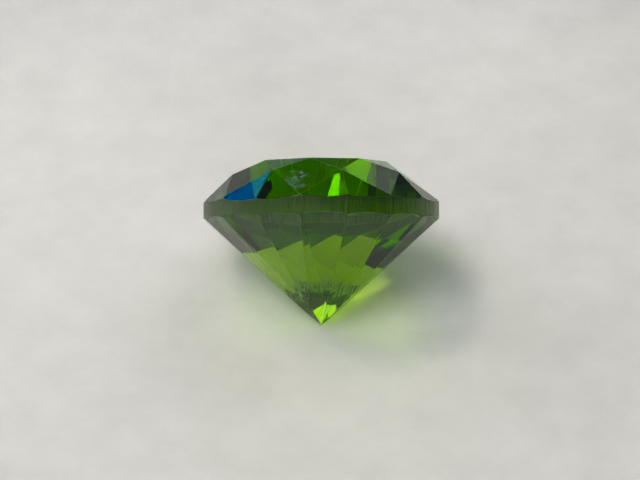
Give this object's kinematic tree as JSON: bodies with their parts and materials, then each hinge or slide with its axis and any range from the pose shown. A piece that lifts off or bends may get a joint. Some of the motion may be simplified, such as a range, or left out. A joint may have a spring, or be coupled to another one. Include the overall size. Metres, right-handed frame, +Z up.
{
  "type": "faceted demantoid garnet",
  "caption": "Loose green demantoid garnet cut as a round brilliant, lying on a pavilion facet; a faceted gemstone to set, display or scatter.",
  "frame": {"origin": "bottom centre of the stone's box, on the surface it lies on, under the middle of the stone", "axes": "+Z up from the lower half facet the stone lies on; the table looks up and 41 degrees from +Y round to +X, with its normal 43 degrees from upright, and the culet points the opposite way, at the bottom"},
  "size_m": [0.0046, 0.0044, 0.0036],
  "materials": {
    "demantoid": "polished facets, see-through, with a finely ground girdle"
  },
  "bodies": {
    "root": {"demantoid_stone": "demantoid"}
  },
  "joints": []
}
